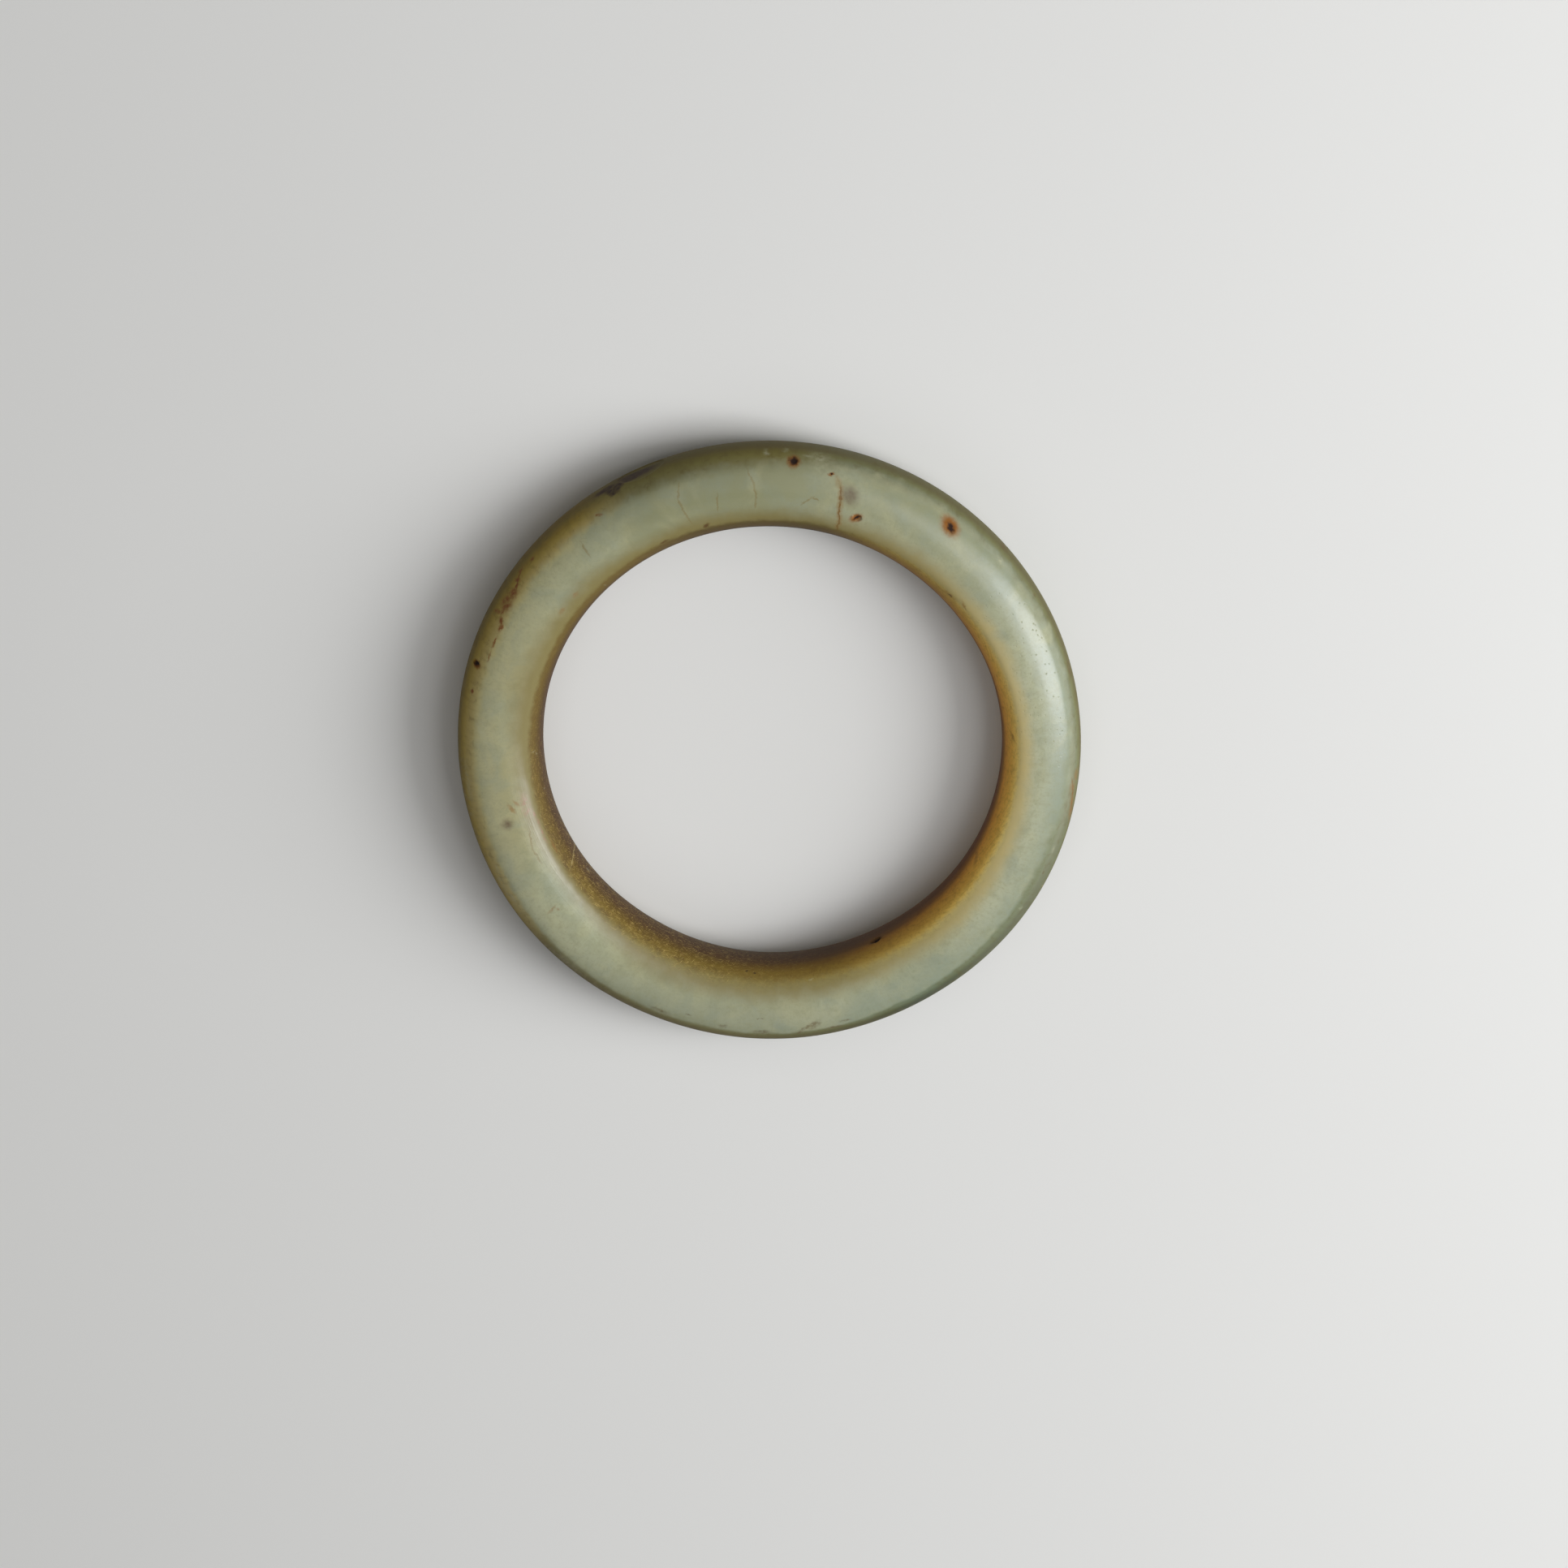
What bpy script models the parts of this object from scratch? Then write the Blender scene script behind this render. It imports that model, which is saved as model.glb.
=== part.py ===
"""Jade bangle: one closed ring of nephrite, ground to shape by hand, lying on its flat underside.

Run it with blender --background --python part.py, or from Blender's text editor.

Units are metres and +Z is up. The ring's axis is +Z, and the origin is the middle of the ring at
the level of the surface that it lies on. Ring angles run anticlockwise from +X, seen from above.
Section angles run from the outer wall (0 degrees) over the top (90) to the wall of the hole (180).
"""
import math

import bmesh
import bpy
from mathutils import Matrix, Vector

MM = 0.001

# The ring
OUTSIDE_DIAMETER = 80.2 * MM
HOLE_DIAMETER = 58.6 * MM
FULL_HEIGHT = 11.4 * MM  # before the underside is ground flat
HOLE_OFF_CENTRE = Vector((0.35, 0.27)) * MM  # the drilled hole sits this far from the ring's middle

# The band's section: two bowed faces and two bowed walls that meet in soft arrises
FACE_BOW_RADIUS = 7.0 * MM
WALL_BOW_RADIUS = 6.9 * MM
ARRIS_SHARPNESS = 250
REST_BAND_WIDTH = 3.6 * MM  # the flat ring on the underside

# Hand grinding leaves the ring a little out of round: (waves round the ring, height, first crest)
OUTER_WALL_WAVES = (
    (2, 0.11 * MM, 77),
    (3, 0.03 * MM, 63),
    (4, 0.04 * MM, 63),
    (6, 0.03 * MM, 35),
    (7, 0.025 * MM, 16),
)
HOLE_WALL_WAVES = (
    (2, 0.085 * MM, 166),
    (3, 0.08 * MM, 17),
    (4, 0.035 * MM, 87),
    (6, 0.025 * MM, 24),
    (7, 0.025 * MM, 12),
)
WALL_BLEND = 2.5 * MM  # how gradually the outer wall's waves give way to the hole's across the band

# Hollows in the surface: (name, ring angle, section angle, length round the ring, width, depth)
HOLLOWS = (
    ("edge_chip", 114.0, 4, 6.4 * MM, 4.4 * MM, 0.34 * MM),
    ("open_pit", 71.2, 98, 1.3 * MM, 0.9 * MM, 0.45 * MM),
    ("dark_pit", 53.5, 51, 1.3 * MM, 1.8 * MM, 0.22 * MM),
    ("round_pit", 85.5, 40, 1.0 * MM, 1.0 * MM, 0.18 * MM),
    ("black_pit", 162.5, 38, 0.9 * MM, 1.1 * MM, 0.30 * MM),
    ("slit", 297.0, 160, 1.5 * MM, 0.5 * MM, 0.40 * MM),
)
HOLLOW_SIDES = 12
HOLLOW_RINGS = 8

# Facets of the ring
PROFILE_POINTS = 40
TURN_STEPS = 112
WELD_DISTANCE = 0.01 * MM

RING_RADIUS = (OUTSIDE_DIAMETER + HOLE_DIAMETER) / 4
HALF_THICKNESS = (OUTSIDE_DIAMETER - HOLE_DIAMETER) / 4
HALF_HEIGHT = FULL_HEIGHT / 2
FACE_BOW_DEPTH = FACE_BOW_RADIUS - HALF_HEIGHT  # from the band's mid-plane to a face's bow centre
WALL_BOW_DEPTH = WALL_BOW_RADIUS - HALF_THICKNESS
REST_LEVEL = FACE_BOW_DEPTH - math.sqrt(FACE_BOW_RADIUS**2 - (REST_BAND_WIDTH / 2) ** 2)


def section_point(section_angle):
    """The band's surface seen from its centre, as (outward, up), in one direction."""
    direction = Vector((math.cos(section_angle), math.sin(section_angle)))
    near = 0.0
    far = HALF_THICKNESS + HALF_HEIGHT
    while far - near > WELD_DISTANCE / 1000:
        middle = (near + far) / 2
        outward = abs(direction.x) * middle
        upward = abs(direction.y) * middle
        from_wall_bow = math.hypot(outward + WALL_BOW_DEPTH, upward) / WALL_BOW_RADIUS
        from_face_bow = math.hypot(outward, upward + FACE_BOW_DEPTH) / FACE_BOW_RADIUS
        if from_wall_bow**ARRIS_SHARPNESS + from_face_bow**ARRIS_SHARPNESS > 1:
            far = middle
        else:
            near = middle
    return direction * near


def wave_height(waves, ring_angle):
    """How far the hand-ground wall stands out from the true circle at one ring angle."""
    return sum(
        height * math.cos(count * (ring_angle - math.radians(crest)))
        for count, height, crest in waves
    )


def worked_point(ring_angle, outward, up):
    """Where a point of the true ring lies once the ring is hand-ground and its underside is flat."""
    hole_share = (1 - math.tanh(outward / WALL_BLEND)) / 2
    outer_wave = wave_height(OUTER_WALL_WAVES, ring_angle) * (1 - hole_share)
    hole_wave = wave_height(HOLE_WALL_WAVES, ring_angle) * hole_share
    radius = RING_RADIUS + outward + outer_wave + hole_wave
    shift = HOLE_OFF_CENTRE * hole_share
    x = radius * math.cos(ring_angle) + shift.x
    y = radius * math.sin(ring_angle) + shift.y
    return Vector((x, y, max(up, REST_LEVEL) - REST_LEVEL))


def surface_point(ring_angle, section_angle):
    """A point of the finished surface, from its two angles."""
    outward, up = section_point(section_angle)
    return worked_point(ring_angle, outward, up)


def surface_frame(ring_angle, section_angle):
    """A matrix on the surface: X runs round the ring, Y across the band, Z out of the stone."""
    step = math.radians(0.5)
    along = surface_point(ring_angle + step, section_angle) - surface_point(ring_angle - step, section_angle)
    across = surface_point(ring_angle, section_angle + step) - surface_point(ring_angle, section_angle - step)
    along.normalize()
    outward = across.cross(along).normalized()
    centre = RING_RADIUS * Vector((math.cos(ring_angle), math.sin(ring_angle), 0))
    centre.z = -REST_LEVEL
    place = surface_point(ring_angle, section_angle)
    if outward.dot(place - centre) < 0:
        outward.negate()
    matrix = Matrix((along, outward.cross(along), outward)).transposed().to_4x4()
    matrix.translation = place
    return matrix


def new_collection(name):
    collection = bpy.data.collections.new(name)
    bpy.context.scene.collection.children.link(collection)
    return collection


def new_object(name, mesh, collection):
    piece = bpy.data.objects.new(name, mesh)
    collection.objects.link(piece)
    return piece


def jade():
    """Pale grey-green nephrite with a soft hand polish."""
    material = bpy.data.materials.new("nephrite jade, ground and polished")
    material.use_nodes = True
    shader = material.node_tree.nodes["Principled BSDF"]
    shader.inputs["Base Color"].default_value = (0.33, 0.34, 0.20, 1.0)
    shader.inputs["Roughness"].default_value = 0.28
    shader.inputs["Metallic"].default_value = 0.0
    shader.inputs["IOR"].default_value = 1.62
    return material


def turned_ring(collection):
    """The true ring: the section turned round the axis, its outer side running top to bottom."""
    outline = bmesh.new()
    turn = -2 * math.pi / PROFILE_POINTS
    points = []
    for number in range(PROFILE_POINTS):
        outward, up = section_point(math.pi / 2 + number * turn)
        points.append(outline.verts.new((RING_RADIUS + outward, 0, up)))
    for number, point in enumerate(points):
        outline.edges.new((point, points[(number + 1) % PROFILE_POINTS]))
    profile = bpy.data.meshes.new("bangle profile")
    outline.to_mesh(profile)
    outline.free()
    ring = new_object("bangle", profile, collection)
    screw = ring.modifiers.new("turn", "SCREW")
    screw.axis = "Z"
    screw.angle = 2 * math.pi
    screw.steps = TURN_STEPS
    screw.render_steps = TURN_STEPS
    screw.use_merge_vertices = True
    screw.merge_threshold = WELD_DISTANCE
    screw.use_smooth_shade = True
    return ring


def hand_grind(ring):
    """Fix the turned shape as a mesh and move its points to the hand-ground surface."""
    evaluated = ring.evaluated_get(bpy.context.evaluated_depsgraph_get())
    mesh = bpy.data.meshes.new_from_object(evaluated)
    ring.modifiers.clear()
    ring.data = mesh
    for vertex in mesh.vertices:
        ring_angle = math.atan2(vertex.co.y, vertex.co.x)
        outward = math.hypot(vertex.co.x, vertex.co.y) - RING_RADIUS
        vertex.co = worked_point(ring_angle, outward, vertex.co.z)


def hollow_cutter(name, place, size, collection):
    """A closed flattened ball whose lower half is the hollow that it cuts."""
    ball = bmesh.new()
    bmesh.ops.create_uvsphere(ball, u_segments=HOLLOW_SIDES, v_segments=HOLLOW_RINGS, radius=1)
    mesh = bpy.data.meshes.new(name)
    ball.to_mesh(mesh)
    ball.free()
    length, width, depth = size
    mesh.transform(Matrix.Diagonal((length / 2, width / 2, depth, 1)))
    cutter = new_object(name, mesh, collection)
    cutter.matrix_world = place
    cutter.hide_render = True
    cutter.display_type = "WIRE"
    return cutter


def cut_hollows(ring, collection):
    """The chip in the outer edge and the natural pits, each cut by its own ball."""
    for name, ring_angle, section_angle, *size in HOLLOWS:
        place = surface_frame(math.radians(ring_angle), math.radians(section_angle))
        cut = ring.modifiers.new(name, "BOOLEAN")
        cut.operation = "DIFFERENCE"
        cut.solver = "EXACT"
        cut.object = hollow_cutter("cut " + name, place, size, collection)


def main():
    for item in list(bpy.context.scene.objects):
        bpy.data.objects.remove(item, do_unlink=True)
    ring = turned_ring(new_collection("jade bangle"))
    hand_grind(ring)
    ring.data.materials.append(jade())
    cut_hollows(ring, new_collection("cutters"))


main()
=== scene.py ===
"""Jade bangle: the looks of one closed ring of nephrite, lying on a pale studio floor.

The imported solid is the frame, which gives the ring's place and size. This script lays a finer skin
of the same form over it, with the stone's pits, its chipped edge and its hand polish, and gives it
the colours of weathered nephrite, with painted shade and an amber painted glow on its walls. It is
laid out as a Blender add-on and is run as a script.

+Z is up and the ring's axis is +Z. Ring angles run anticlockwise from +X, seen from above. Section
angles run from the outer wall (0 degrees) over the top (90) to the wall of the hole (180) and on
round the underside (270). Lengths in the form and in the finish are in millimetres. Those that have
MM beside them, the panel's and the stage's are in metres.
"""

import math
from collections import namedtuple

import bmesh
import bpy
import numpy as np
from bpy.props import FloatProperty, FloatVectorProperty, IntProperty, PointerProperty
from mathutils import Matrix, Vector, noise


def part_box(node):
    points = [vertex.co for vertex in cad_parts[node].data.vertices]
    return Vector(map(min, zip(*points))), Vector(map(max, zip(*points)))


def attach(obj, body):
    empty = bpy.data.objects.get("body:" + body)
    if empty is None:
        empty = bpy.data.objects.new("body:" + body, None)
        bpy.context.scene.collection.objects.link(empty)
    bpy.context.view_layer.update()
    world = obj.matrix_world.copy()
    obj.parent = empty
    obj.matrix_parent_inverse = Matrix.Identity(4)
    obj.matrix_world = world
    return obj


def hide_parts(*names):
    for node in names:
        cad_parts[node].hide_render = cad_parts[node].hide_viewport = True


bl_info = {
    "name": "Jade Bangle",
    "version": (1, 0, 0),
    "blender": (4, 5, 0),
    "location": "View3D > Sidebar > Jade Bangle",
    "description": "Builds a hand-polished nephrite bangle with its pits, stains and studio",
    "category": "Add Mesh",
}

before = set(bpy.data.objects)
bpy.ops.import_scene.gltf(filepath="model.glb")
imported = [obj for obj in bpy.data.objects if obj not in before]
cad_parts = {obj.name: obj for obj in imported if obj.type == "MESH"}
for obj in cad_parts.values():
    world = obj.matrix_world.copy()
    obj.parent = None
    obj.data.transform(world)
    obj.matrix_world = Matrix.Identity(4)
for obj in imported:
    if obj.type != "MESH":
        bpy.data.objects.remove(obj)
CAD_LOW, CAD_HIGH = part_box("bangle")
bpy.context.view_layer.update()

MM = 0.001
OUTSIDE_DIAMETER = (CAD_HIGH.x - CAD_LOW.x + CAD_HIGH.y - CAD_LOW.y) / 2

# --- The ring's form -------------------------------------------------------------------------

# Hand grinding leaves each wall a little out of round: (waves round the ring, height, crest)
OUTER_WALL_WAVES = ((2, 0.11, 77), (3, 0.03, 63), (4, 0.04, 63), (6, 0.03, 35), (7, 0.025, 16))
HOLE_WALL_WAVES = ((2, 0.085, 166), (3, 0.08, 17), (4, 0.035, 87), (6, 0.025, 24), (7, 0.025, 12))
WALL_BLEND = 2.5  # across the band, over which the outer wall's waves give way to the hole's
# The top of the bowed face wanders outwards on one side of the ring and towards the hole on the other
FACE_WANDER_WAVES = ((0, 0.06, 0), (1, 0.29, 231), (2, 0.08, 113), (3, 0.08, 80))
SECTION_HALVINGS = 40  # times that the search for the section's surface halves its stretch

# Hollows: ring angle, section angle, length round the ring, width across the band, depth
HOLLOWS = {
    "edge chip": (114.0, 4, 6.4, 4.4, 0.34),
    "open pit": (71.1, 99, 1.2, 0.9, 0.22),
    "dark pit": (53.2, 53, 1.2, 1.2, 0.06),
    "round pit": (85.4, 41, 1.0, 1.3, 0.15),
    "black pit": (162.4, 40, 0.8, 1.5, 0.22),
    "slit": (297.1, 157, 1.5, 0.8, 0.40),
}
HOLLOW_REFINEMENTS = 2  # times that the skin's quads are halved around a hollow
RUBBED_DEPTH = 0.025  # how deep the hand's unevenness goes
RUBBED_SIZE = 6.0  # how far apart its dips lie

# The unrolled map: millimetres round the ring and round the section, at these middling radii
UNROLLED = "unrolled band"
MAP_RING_RADIUS = 34.7
MAP_SECTION_RADIUS = 5.6
SEAM_RING_ANGLE = 30.0
SEAM_SECTION_ANGLE = -90.0
SEAM_WELD = 0.002 * MM


def on_map(ring_angle, section_angle):
    """The place on the unrolled map of two angles in degrees, the first from the seam onwards."""
    past_seam = (ring_angle - SEAM_RING_ANGLE) % 360 + SEAM_RING_ANGLE
    return MAP_RING_RADIUS * math.radians(past_seam), MAP_SECTION_RADIUS * math.radians(section_angle)


def waves(table, ring_angles):
    """The sum of a table of waves round the ring, at ring angles in radians."""
    return sum(h * np.cos(n * (ring_angles - math.radians(crest))) for n, h, crest in table)


class Band:
    """The band's form in millimetres, from the sizes that the panel shows."""

    def __init__(self, shape):
        self.ring_radius = (shape.outside_diameter + shape.hole_diameter) / 4 / MM
        self.half_thickness = (shape.outside_diameter - shape.hole_diameter) / 4 / MM
        self.half_height = shape.full_height / 2 / MM
        self.face_bow = shape.face_bow_radius / MM
        self.wall_bow = shape.wall_bow_radius / MM
        self.sharpness = shape.arris_sharpness
        self.hole_shift = np.array(shape.hole_off_centre) / MM
        self.face_bow_depth = self.face_bow - self.half_height
        self.wall_bow_depth = self.wall_bow - self.half_thickness
        half_rest_band = shape.rest_band_width / 2 / MM
        self.rest_level = self.face_bow_depth - math.sqrt(self.face_bow**2 - half_rest_band**2)

    def section(self, section_angles, wander):
        """How far outward and up the surface lies from the band's centre, at these angles."""
        across, up = np.cos(section_angles), np.sin(section_angles)
        near = np.zeros_like(section_angles)
        far = np.full_like(section_angles, self.half_thickness + self.half_height)
        for _ in range(SECTION_HALVINGS):
            middle = (near + far) / 2
            outward, upward = across * middle, np.abs(up) * middle
            wall = np.hypot(np.abs(outward) + self.wall_bow_depth, upward) / self.wall_bow
            face = np.hypot(outward - wander, upward + self.face_bow_depth) / self.face_bow
            outside = wall**self.sharpness + face**self.sharpness > 1
            near, far = np.where(outside, near, middle), np.where(outside, middle, far)
        return across * near, up * near

    def surface(self, ring_angles, section_angles):
        """Points of the hand-ground surface, one row each, from two arrays of angles in radians."""
        outward, up = self.section(section_angles, waves(FACE_WANDER_WAVES, ring_angles))
        hole_share = (1 - np.tanh(outward / WALL_BLEND)) / 2
        outer_wave = waves(OUTER_WALL_WAVES, ring_angles) * (1 - hole_share)
        hole_wave = waves(HOLE_WALL_WAVES, ring_angles) * hole_share
        radius = self.ring_radius + outward + outer_wave + hole_wave
        x = radius * np.cos(ring_angles) + self.hole_shift[0] * hole_share
        y = radius * np.sin(ring_angles) + self.hole_shift[1] * hole_share
        z = np.maximum(up, self.rest_level) - self.rest_level
        return np.stack((x, y, z), axis=-1)

    def outward(self, points):
        """The direction out of the band's middle circle at each point, as unit rows."""
        flat = np.hypot(points[:, 0], points[:, 1])
        circle = points * (self.ring_radius / flat)[:, None]
        circle[:, 2] = -self.rest_level
        away = points - circle
        return away / np.linalg.norm(away, axis=1)[:, None]

    def place(self, ring_angle, section_angle):
        """A point of the surface, and there the directions round the ring, across and out."""
        turn, lean, step = np.radians((ring_angle, section_angle, 0.5))
        turns = np.array((turn, turn + step, turn - step, turn, turn))
        leans = np.array((lean, lean, lean, lean + step, lean - step))
        point, ahead, behind, above, below = self.surface(turns, leans)
        along = (ahead - behind) / np.linalg.norm(ahead - behind)
        out = np.cross(along, above - below)
        out /= np.linalg.norm(out)
        return point, along, np.cross(out, along), out


def flat_sheet(turns, leans):
    """The skin as a flat sheet of quads on the unrolled map, finer where hollows will be pressed."""
    sheet = bmesh.new()
    bmesh.ops.create_grid(sheet, x_segments=turns, y_segments=leans, size=0.5)
    width, height = math.tau * MAP_RING_RADIUS, math.tau * MAP_SECTION_RADIUS
    left, bottom = on_map(SEAM_RING_ANGLE, SEAM_SECTION_ANGLE)
    stretch = Matrix.Diagonal((width, height, 1, 1))
    shift = Matrix.Translation((left + width / 2, bottom + height / 2, 0))
    bmesh.ops.transform(sheet, matrix=shift @ stretch, verts=sheet.verts)
    quad = width / turns
    for ring_angle, section_angle, length, across, _ in HOLLOWS.values():
        middle = Vector((*on_map(ring_angle, section_angle), 0))
        reach = Vector((length / 2 + quad, across / 2 + quad, 0))
        around = [edge for edge in sheet.edges if within(edge, middle, reach)]
        bmesh.ops.subdivide_edges(sheet, edges=around, cuts=2**HOLLOW_REFINEMENTS - 1, use_grid_fill=True)
    return sheet


def within(edge, middle, reach):
    """Whether an edge's middle lies in the box that reaches so far either way."""
    away = (edge.verts[0].co + edge.verts[1].co) / 2 - middle
    return abs(away.x) < reach.x and abs(away.y) < reach.y


def rub(points, band):
    """Wears the skin unevenly by hand, a little inward, but leaves the flat underside alone."""
    dips = np.array([noise.noise(Vector(point) / RUBBED_SIZE) for point in points])
    above_floor = np.clip(points[:, 2] / band.half_height, 0, 1)
    points -= band.outward(points) * ((dips + 1) / 2 * RUBBED_DEPTH * above_floor)[:, None]


def press_hollows(points, band):
    """Sinks each chip and pit into the skin as a round-bottomed bowl."""
    for ring_angle, section_angle, length, width, depth in HOLLOWS.values():
        centre, along, across, out = band.place(ring_angle, section_angle)
        offsets = points - centre
        reach = np.hypot(offsets @ along / (length / 2), offsets @ across / (width / 2))
        this_side = np.abs(offsets @ out) < max(length, width) / 2
        points -= np.outer(np.sqrt(np.clip(1 - reach**2, 0, 1)) * depth * this_side, out)


def fit_to_frame(points):
    """Trims the skin's box to the solid's own, which is a few hundredths of a millimetre away."""
    low, high = points.min(axis=0), points.max(axis=0)
    frame_low, frame_high = np.array(CAD_LOW) / MM, np.array(CAD_HIGH) / MM
    return frame_low + (points - low) * (frame_high - frame_low) / (high - low)


def ring_mesh(band, turns, leans):
    """The sheet rolled up into the closed band, with the sheet's own places as its map."""
    sheet = flat_sheet(turns, leans)
    mesh = bpy.data.meshes.new("bangle skin")
    sheet.to_mesh(mesh)
    places = np.empty(len(mesh.vertices) * 3, np.float32)
    mesh.vertices.foreach_get("co", places)
    places = places.reshape(-1, 3)[:, :2].astype(float)
    corners = np.empty(len(mesh.loops), np.int32)
    mesh.loops.foreach_get("vertex_index", corners)
    layer = mesh.uv_layers.new(name=UNROLLED)
    layer.uv.foreach_set("vector", places[corners].astype(np.float32).ravel())

    points = band.surface(places[:, 0] / MAP_RING_RADIUS, places[:, 1] / MAP_SECTION_RADIUS)
    rub(points, band)
    press_hollows(points, band)
    mesh.vertices.foreach_set("co", (fit_to_frame(points) * MM).astype(np.float32).ravel())

    sheet.clear()
    sheet.from_mesh(mesh)
    bmesh.ops.remove_doubles(sheet, verts=sheet.verts, dist=SEAM_WELD)
    sheet.to_mesh(mesh)
    sheet.free()
    mesh.shade_smooth()
    return mesh


# --- The stone's finish ----------------------------------------------------------------------

# Where a point of the stone lies, as sockets: in the solid, on the unrolled map and on the map with
# its lines made ragged, all in millimetres, then in degrees round the ring and round the section,
# folded so that the underside follows the top (0 outer wall, 90 face, 180 hole wall)
Where = namedtuple("Where", "solid map ragged turn lean")
TINTED_FACE = (102, 58)  # section angles between which the tints of the outer side set in
FRAY_SIZE = 0.45  # how far apart the kinks in a ragged edge lie
FRAY_REACH = 0.55  # how far they push the edge about
VEIN_OVERLAP = 1.6  # how much longer each stretch of a vein is, so that it meets the next
VEIN_SOFTNESS = 0.6
VEIN_PATCHINESS = 0.3

# Stops round the ring are a ring angle and a value. The body's values name the panel's colours.
BODY_ROUND = (
    (0, "pale"), (18, "pale"), (45, "body"), (72, "body"), (92, "deep"), (116, "deep"), (138, "body"),
    (158, "warm"), (198, "warm"), (214, "light"), (228, "light"), (245, "body"), (272, "body"),
    (288, "light"), (304, "light"), (325, "pale"), (345, "pale"), (360, "pale"),
)
# Edges round the ring: ring angle, the section angle where the edge lies, how far it fades each way
SKIN_EDGE = (
    (0, 50, 14), (20, 34, 14), (45, 40, 16), (62, 36, 16), (76, 42, 14), (86, 48, 12), (98, 50, 12),
    (112, 52, 10), (122, 52, 12), (140, 58, 10), (154, 60.5, 7), (175, 63, 7), (188, 62.5, 6),
    (205, 60.5, 4.5), (216, 58.5, 3), (285, 57.5, 2.5), (296, 61.5, 2.5), (306, 61.5, 3), (330, 62, 4),
    (342, 59, 8), (352, 54, 12), (360, 50, 14),
)
STAIN_EDGE = (
    (0, 122, 4), (30, 122, 4), (60, 123, 4), (120, 127, 4), (150, 130, 5), (180, 131, 5), (215, 130, 4),
    (240, 124, 9), (262, 122, 12), (290, 121, 12), (315, 121, 9), (340, 121, 5), (360, 122, 4),
)
HAZE_EDGE = (
    (0, 109, 14), (60, 108, 15), (82, 112, 14), (105, 109, 14), (120, 113, 14), (135, 108, 18),
    (150, 110, 16), (165, 104, 17), (180, 111, 14), (195, 112, 13), (208, 118, 11), (224, 117, 13),
    (240, 105, 15), (262, 107, 15), (300, 107, 15), (330, 106, 14), (345, 107, 14), (360, 109, 14),
)
# The polished face lies between these two edges, where a hand polish dies out gradually
OUTER_POLISH_EDGE = (
    (0, 36, 5), (45, 36, 6), (62, 48, 12), (80, 57, 11), (320, 57, 11), (340, 47, 9), (350, 38, 6),
    (360, 36, 5),
)
HOLE_POLISH_EDGE = (
    (0, 124, 12), (45, 122, 12), (62, 112, 14), (150, 110, 14), (176, 113, 14), (188, 125, 8),
    (232, 125, 8), (262, 116, 14), (330, 120, 14), (360, 124, 12),
)
# How much of each colour there is round the ring
COOLED_SHARE = (
    (0, 0.95), (45, 0.7), (62, 0.3), (80, 0), (228, 0.1), (240, 0.5), (253, 0.3), (262, 0.4),
    (290, 0.9), (330, 0.9), (360, 0.95),
)
DEEPENED_SHARE = ((0, 0), (38, 0), (50, 0.5), (62, 0.6), (92, 0.6), (106, 0.3), (118, 0), (360, 0))
CREAMED_SHARE = (
    (0, 0), (118, 0), (140, 0.8), (152, 1), (176, 0.7), (205, 0.35), (226, 0.2), (245, 0), (360, 0),
)
# The amber, part stain and part painted glow, lies on the stretch of the hole's wall away from the key
# softbox
AMBER_AND_GLOW_SHARE = (
    (0, 1), (15, 1), (30, 0.81), (45, 0.45), (62, 0.22), (78, 0), (255, 0), (270, 0.04), (285, 0.1),
    (300, 0.36), (315, 0.64), (330, 0.9), (345, 1), (360, 1),
)
SHADE_SHARE = (
    (0, 0), (62, 0), (80, 0.42), (106, 0.52), (124, 0.26), (172, 0.26), (200, 0.18), (215, 0.08),
    (235, 0), (360, 0),
)
OLIVE_SHARE = ((0, 0), (74, 0), (88, 1), (116, 1), (128, 0), (360, 0))
YELLOW_SHARE = (
    (0, 0), (116, 0), (128, 1), (211, 1), (224, 0.34), (262, 0.26), (285, 0.12), (300, 0), (360, 0),
)
# The grey skin, darkened mostly by painted shade, lies on this stretch of the outer wall
SHADED_GREY_SHARE = (
    (0, 0), (208, 0), (222, 1), (301, 1), (315, 0.66), (330, 0.5), (342, 0.28), (352, 0.1), (360, 0),
)
# How much there is round the ring of paler streaks, gold-brown scratches and dark ground, and pores
PALED_SHARE = ((0, 0), (178, 0), (186, 1), (234, 1), (246, 0.3), (262, 0), (360, 0))
GROUND_SHARE = (
    (0, 0.06), (120, 0.06), (160, 0.16), (180, 0.4), (200, 0.8), (214, 1), (252, 1), (268, 0.5),
    (284, 0.12), (360, 0.06),
)
PORE_SHARE = ((0, 0.4), (8, 0.8), (34, 0.8), (48, 0.1), (150, 0.1), (352, 0.1), (360, 0.4))
# Where the last grinding lines still show, round the ring and across the band
LINED_SHARE = ((0, 0), (180, 0), (194, 1), (226, 1), (240, 0), (360, 0))
LINED_SECTION = ((0, 0), (94, 0), (102, 1), (122, 1), (130, 0), (180, 0))

# The skin that weathering left on the outer wall, by section angle. Painted shade darkens each
# towards the wall's middle, and the grey one most of all in a band just below the face
PALE_SKIN_AND_SHADE = (
    (0, "#5C5732"), (14, "#5A542E"), (24, "#66663E"), (32, "#6E7154"), (42, "#7A7B5F"), (52, "#808369"),
)
OLIVE_SKIN_AND_SHADE = (
    (0, "#544A14"), (14, "#584C14"), (24, "#665C1A"), (34, "#726A32"), (44, "#787246"), (54, "#7A7752"),
)
YELLOW_SKIN_AND_SHADE = (
    (0, "#6A560E"), (14, "#6E5A12"), (22, "#786418"), (32, "#927A22"), (41, "#AA9344"), (50, "#B5A160"),
    (60, "#B2A672"),
)
GREY_SKIN_AND_SHADE = (
    (0, "#52543A"), (20, "#4C5034"), (34, "#303416"), (46, "#262C0C"), (52, "#3C441C"), (58, "#5A6246"),
    (64, "#6A7056"),
)
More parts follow.
